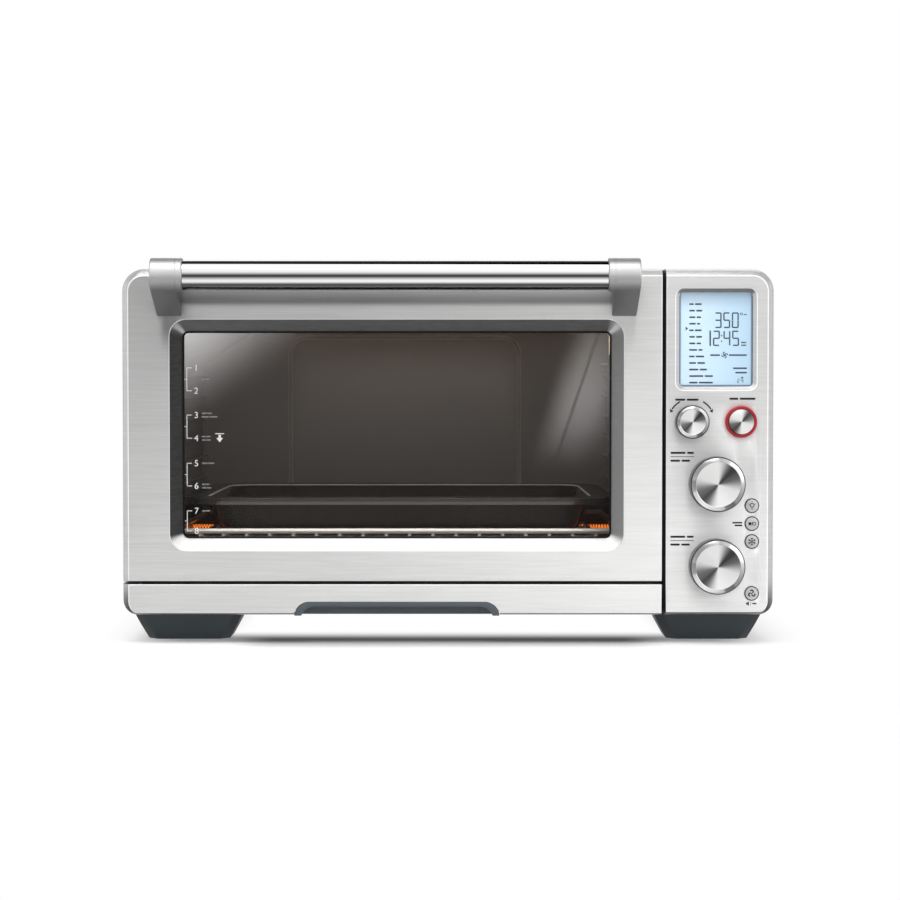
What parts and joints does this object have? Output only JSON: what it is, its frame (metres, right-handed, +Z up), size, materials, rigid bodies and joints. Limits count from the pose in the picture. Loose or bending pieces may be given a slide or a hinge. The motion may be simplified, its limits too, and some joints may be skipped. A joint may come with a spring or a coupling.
{
  "type": "countertop convection oven",
  "caption": "Countertop convection oven with a drop-down glass door and bar handle, wire rack, deep pan, crumb drawer, side control panel with display, dials and buttons.",
  "frame": {"origin": "on the surface it stands on, under the middle of the oven", "axes": "+X right as seen from the front, +Y towards the wall behind, +Z up; the door faces -Y"},
  "size_m": [0.549, 0.444, 0.3218],
  "materials": {
    "brushed_steel_body": "brushed along the width",
    "brushed_steel_panel": "brushed along the width",
    "zinc_sheet": "plain coated sheet",
    "bright_wire": "polished wire",
    "polished_steel": "polished",
    "hinge_steel": "plain pressed steel",
    "slate_plastic": "fine moulded grain",
    "black_plastic": "fine moulded grain",
    "black_enamel": "glossy enamel on steel",
    "smoked_glass": "polished",
    "clear_lens": "polished",
    "quartz": "frosted",
    "element_wire": "wound resistance wire",
    "ceramic": "plain",
    "silicone": "plain",
    "circuit_board": "solder mask",
    "display": "backlit",
    "light_plastic": "moulded",
    "red_ring": "translucent"
  },
  "bodies": {
    "oven": {"outer_cover": "brushed_steel_body", "base_plate": "zinc_sheet", "rear_cover": "zinc_sheet", "rear_spacers": "black_plastic", "cord_bush": "black_plastic", "front_feet": "slate_plastic", "rear_feet": "slate_plastic", "front_frame": "zinc_sheet", "door_seal": "silicone", "divider_wall": "zinc_sheet", "cavity_back": "zinc_sheet", "cavity_left_wall": "zinc_sheet", "cavity_right_wall": "zinc_sheet", "cavity_roof": "zinc_sheet", "cavity_floor": "zinc_sheet", "quartz_tubes": "quartz", "heating_coils": "element_wire", "element_end_caps": "ceramic", "fan_cover": "zinc_sheet", "fan_motor": "hinge_steel", "oven_lamp": "ceramic", "lamp_lens": "clear_lens", "temperature_sensor": "hinge_steel", "hinge_bracket_left": "hinge_steel", "hinge_bracket_right": "hinge_steel", "door_switch": "black_plastic", "control_panel": "brushed_steel_panel", "gap_trim": "black_plastic", "lcd_lens": "clear_lens", "lcd_module": "display", "control_board": "circuit_board", "rotary_encoders": "black_plastic", "start_ring": "red_ring"},
    "door": {"door_panel": "brushed_steel_body", "door_glass": "smoked_glass", "glass_seal": "silicone", "door_inner_panel": "zinc_sheet", "handle_bar": "polished_steel", "handle_bracket_left": "polished_steel", "handle_bracket_right": "polished_steel", "hinge_arm_left": "hinge_steel", "hinge_arm_right": "hinge_steel"},
    "rack": {"wire_rack": "bright_wire"},
    "pan": {"roasting_pan": "black_enamel"},
    "crumb_drawer": {"crumb_tray": "zinc_sheet", "tray_front": "brushed_steel_panel", "tray_grip": "slate_plastic"},
    "temp_dial": {"temp_dial": "polished_steel"},
    "time_dial": {"time_dial": "polished_steel"},
    "select_shaft": {"select_shaft": "hinge_steel"},
    "select_dial": {"select_dial": "polished_steel"},
    "start_button": {"start_button": "light_plastic"},
    "fan_rotor": {"fan_shaft": "hinge_steel", "convection_fan": "zinc_sheet", "cooling_fan": "black_plastic"},
    "switch_plunger": {"switch_plunger": "light_plastic"},
    "light_button": {"light_button": "light_plastic"},
    "phase_button": {"phase_button": "light_plastic"},
    "frozen_button": {"frozen_button": "light_plastic"},
    "convection_button": {"convection_button": "light_plastic"}
  },
  "joints": [
    {"name": "door_hinge", "type": "hinge", "parent": "oven", "child": "door", "pos_m": [0, -0.165, 0.0567], "axis": [1, 0, 0], "range_deg": [0, 85], "stiffness_Nm_per_rad": 0.9, "springref_deg": -34.38},
    {"name": "rack_slide", "type": "slide", "parent": "oven", "child": "rack", "axis": [0, -1, 0], "range_m": [0, 0.07]},
    {"name": "pan_lift", "type": "slide", "parent": "rack", "child": "pan", "axis": [0, 0, 1], "range_m": [0, 0.1]},
    {"name": "crumb_drawer_slide", "type": "slide", "parent": "oven", "child": "crumb_drawer", "axis": [0, -1, 0], "range_m": [0, 0.2]},
    {"name": "temp_dial_turn", "type": "hinge", "parent": "oven", "child": "temp_dial", "pos_m": [0.225, -0.17, 0.1347], "axis": [0, -1, 0], "continuous": true},
    {"name": "time_dial_turn", "type": "hinge", "parent": "oven", "child": "time_dial", "pos_m": [0.225, -0.17, 0.0657], "axis": [0, -1, 0], "continuous": true},
    {"name": "select_press", "type": "slide", "parent": "oven", "child": "select_shaft", "axis": [0, 1, 0], "range_m": [0, 0.0012], "stiffness_N_per_m": 600, "springref_m": -0.0012},
    {"name": "select_turn", "type": "hinge", "parent": "select_shaft", "child": "select_dial", "pos_m": [0.2042, -0.17, 0.1867], "axis": [0, -1, 0], "continuous": true},
    {"name": "start_press", "type": "slide", "parent": "oven", "child": "start_button", "axis": [0, 1, 0], "range_m": [0, 0.0015], "stiffness_N_per_m": 500, "springref_m": -0.0015},
    {"name": "light_press", "type": "slide", "parent": "oven", "child": "light_button", "axis": [0, 1, 0], "range_m": [0, 0.001], "stiffness_N_per_m": 500, "springref_m": -0.001},
    {"name": "phase_press", "type": "slide", "parent": "oven", "child": "phase_button", "axis": [0, 1, 0], "range_m": [0, 0.001], "stiffness_N_per_m": 500, "springref_m": -0.001},
    {"name": "frozen_press", "type": "slide", "parent": "oven", "child": "frozen_button", "axis": [0, 1, 0], "range_m": [0, 0.001], "stiffness_N_per_m": 500, "springref_m": -0.001},
    {"name": "convection_press", "type": "slide", "parent": "oven", "child": "convection_button", "axis": [0, 1, 0], "range_m": [0, 0.001], "stiffness_N_per_m": 500, "springref_m": -0.001},
    {"name": "fan_spin", "type": "hinge", "parent": "oven", "child": "fan_rotor", "pos_m": [0.1702, 0.0192, 0.1777], "axis": [-1, 0, 0], "continuous": true},
    {"name": "door_switch_press", "type": "slide", "parent": "oven", "child": "switch_plunger", "axis": [0, -1, 0], "range_m": [0, 0.0032]}
  ],
  "couplings": [
    {"joint": "rack_slide", "follows": "door_hinge", "m_per_rad": 0.04584},
    {"joint": "door_switch_press", "follows": "door_hinge", "m_per_rad": 0.00202}
  ]
}
